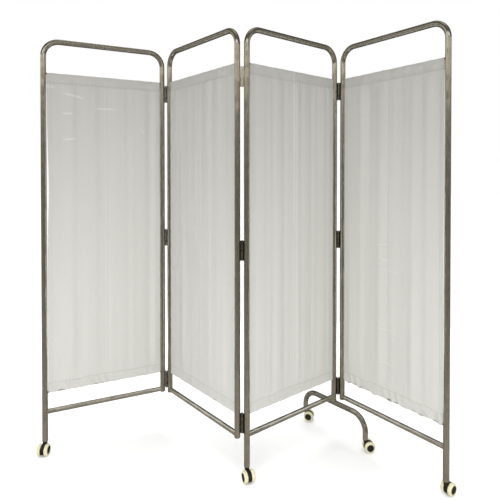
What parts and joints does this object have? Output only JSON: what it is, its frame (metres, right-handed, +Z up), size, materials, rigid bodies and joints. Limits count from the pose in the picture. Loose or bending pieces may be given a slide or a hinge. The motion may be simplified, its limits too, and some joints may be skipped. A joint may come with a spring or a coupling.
{
  "type": "folding privacy screen",
  "caption": "Folding hospital ward privacy screen: bent stainless tube panels hinged in a zigzag, each with a gathered cloth curtain, on swivelling twin-wheel casters.",
  "frame": {"origin": "on the floor, under the middle of the bounding box of the screen as it stands in the picture", "axes": "+Z up, +X to the right as seen from the front, +Y from the front to the back of the zigzag"},
  "size_m": [1.6431, 0.5468, 1.7198],
  "materials": {
    "steel": "polished stainless steel tube",
    "rod": "drawn steel rod",
    "hinge": "satin steel",
    "cloth": "off-white woven polyester curtain",
    "hood": "black moulded nylon",
    "wheel": "cream tread"
  },
  "bodies": {
    "panel_1": {"panel_1_frame": "steel", "panel_1_bottom_rail": "steel", "panel_1_top_rod": "rod", "panel_1_bottom_rod": "rod", "panel_1_cloth": "cloth", "panel_1_right_plug": "steel", "hinge_1_low_pin_leaf": "hinge", "hinge_1_middle_pin_leaf": "hinge", "hinge_1_top_pin_leaf": "hinge"},
    "panel_2": {"panel_2_frame": "steel", "panel_2_bottom_rail": "steel", "panel_2_top_rod": "rod", "panel_2_bottom_rod": "rod", "panel_2_cloth": "cloth", "panel_2_left_plug": "steel", "panel_2_right_plug": "steel", "hinge_1_low_leaf": "hinge", "hinge_1_middle_leaf": "hinge", "hinge_1_top_leaf": "hinge", "hinge_2_low_pin_leaf": "hinge", "hinge_2_middle_pin_leaf": "hinge", "hinge_2_top_pin_leaf": "hinge"},
    "panel_3": {"panel_3_frame": "steel", "panel_3_bottom_rail": "steel", "panel_3_top_rod": "rod", "panel_3_bottom_rod": "rod", "panel_3_cloth": "cloth", "foot_arch": "steel", "hinge_2_low_leaf": "hinge", "hinge_2_middle_leaf": "hinge", "hinge_2_top_leaf": "hinge", "hinge_3_low_pin_leaf": "hinge", "hinge_3_middle_pin_leaf": "hinge", "hinge_3_top_pin_leaf": "hinge"},
    "panel_4": {"panel_4_frame": "steel", "panel_4_bottom_rail": "steel", "panel_4_top_rod": "rod", "panel_4_bottom_rod": "rod", "panel_4_cloth": "cloth", "panel_4_left_plug": "steel", "hinge_3_low_leaf": "hinge", "hinge_3_middle_leaf": "hinge", "hinge_3_top_leaf": "hinge"},
    "caster_panel_1": {"caster_panel_1_hood": "hood"},
    "caster_panel_1_left": {"caster_panel_1_left_wheel": "wheel"},
    "caster_panel_1_right": {"caster_panel_1_right_wheel": "wheel"},
    "caster_panel_3": {"caster_panel_3_hood": "hood"},
    "caster_panel_3_left": {"caster_panel_3_left_wheel": "wheel"},
    "caster_panel_3_right": {"caster_panel_3_right_wheel": "wheel"},
    "caster_panel_4": {"caster_panel_4_hood": "hood"},
    "caster_panel_4_left": {"caster_panel_4_left_wheel": "wheel"},
    "caster_panel_4_right": {"caster_panel_4_right_wheel": "wheel"},
    "caster_foot_back": {"caster_foot_back_hood": "hood"},
    "caster_foot_back_left": {"caster_foot_back_left_wheel": "wheel"},
    "caster_foot_back_right": {"caster_foot_back_right_wheel": "wheel"},
    "caster_foot_front": {"caster_foot_front_hood": "hood"},
    "caster_foot_front_left": {"caster_foot_front_left_wheel": "wheel"},
    "caster_foot_front_right": {"caster_foot_front_right_wheel": "wheel"}
  },
  "joints": [
    {"name": "fold_middle", "type": "hinge", "parent": "panel_3", "child": "panel_2", "pos_m": [0.0371, -0.2321, 0.871], "axis": [0, 0, 1], "range_deg": [-82, 90]},
    {"name": "fold_left", "type": "hinge", "parent": "panel_2", "child": "panel_1", "pos_m": [-0.36508, 0.10876, 0.871], "axis": [0, 0, 1], "range_deg": [-76.5, 95.5]},
    {"name": "fold_right", "type": "hinge", "parent": "panel_3", "child": "panel_4", "pos_m": [0.41453, 0.13598, 0.871], "axis": [0, 0, 1], "range_deg": [-79, 93]},
    {"name": "caster_panel_1_swivel", "type": "hinge", "parent": "panel_1", "child": "caster_panel_1", "pos_m": [-0.80001, -0.16413, 0.0465], "axis": [0, 0, 1], "continuous": true},
    {"name": "caster_panel_1_left_roll", "type": "hinge", "parent": "caster_panel_1", "child": "caster_panel_1_left", "pos_m": [-0.79844, -0.17904, 0.0225], "axis": [0.9945, 0.1045, 0], "continuous": true},
    {"name": "caster_panel_1_right_roll", "type": "hinge", "parent": "caster_panel_1", "child": "caster_panel_1_right", "pos_m": [-0.79844, -0.17904, 0.0225], "axis": [0.9945, 0.1045, 0], "continuous": true},
    {"name": "caster_panel_3_swivel", "type": "hinge", "parent": "panel_3", "child": "caster_panel_3", "pos_m": [0.05531, -0.2309, 0.0465], "axis": [0, 0, 1], "continuous": true},
    {"name": "caster_panel_3_left_roll", "type": "hinge", "parent": "caster_panel_3", "child": "caster_panel_3_left", "pos_m": [0.06281, -0.24389, 0.0225], "axis": [0.866, 0.5, 0], "continuous": true},
    {"name": "caster_panel_3_right_roll", "type": "hinge", "parent": "caster_panel_3", "child": "caster_panel_3_right", "pos_m": [0.06281, -0.24389, 0.0225], "axis": [0.866, 0.5, 0], "continuous": true},
    {"name": "caster_panel_4_swivel", "type": "hinge", "parent": "panel_4", "child": "caster_panel_4", "pos_m": [0.78009, -0.22457, 0.0465], "axis": [0, 0, 1], "continuous": true},
    {"name": "caster_panel_4_left_roll", "type": "hinge", "parent": "caster_panel_4", "child": "caster_panel_4_left", "pos_m": [0.79123, -0.21453, 0.0225], "axis": [-0.6691, 0.7431, 0], "continuous": true},
    {"name": "caster_panel_4_right_roll", "type": "hinge", "parent": "caster_panel_4", "child": "caster_panel_4_right", "pos_m": [0.79123, -0.21453, 0.0225], "axis": [-0.6691, 0.7431, 0], "continuous": true},
    {"name": "caster_foot_back_swivel", "type": "hinge", "parent": "panel_3", "child": "caster_foot_back", "pos_m": [0.27125, 0.2514, 0.0465], "axis": [0, 0, 1], "continuous": true},
    {"name": "caster_foot_back_left_roll", "type": "hinge", "parent": "caster_foot_back", "child": "caster_foot_back_left", "pos_m": [0.28602, 0.2488, 0.0225], "axis": [0.1736, 0.9848, 0], "continuous": true},
    {"name": "caster_foot_back_right_roll", "type": "hinge", "parent": "caster_foot_back", "child": "caster_foot_back_right", "pos_m": [0.28602, 0.2488, 0.0225], "axis": [0.1736, 0.9848, 0], "continuous": true},
    {"name": "caster_foot_front_swivel", "type": "hinge", "parent": "panel_3", "child": "caster_foot_front", "pos_m": [0.52138, 0.01816, 0.0465], "axis": [0, 0, 1], "continuous": true},
    {"name": "caster_foot_front_left_roll", "type": "hinge", "parent": "caster_foot_front", "child": "caster_foot_front_left", "pos_m": [0.53593, 0.02179, 0.0225], "axis": [-0.2419, 0.9703, 0], "continuous": true},
    {"name": "caster_foot_front_right_roll", "type": "hinge", "parent": "caster_foot_front", "child": "caster_foot_front_right", "pos_m": [0.53593, 0.02179, 0.0225], "axis": [-0.2419, 0.9703, 0], "continuous": true}
  ]
}
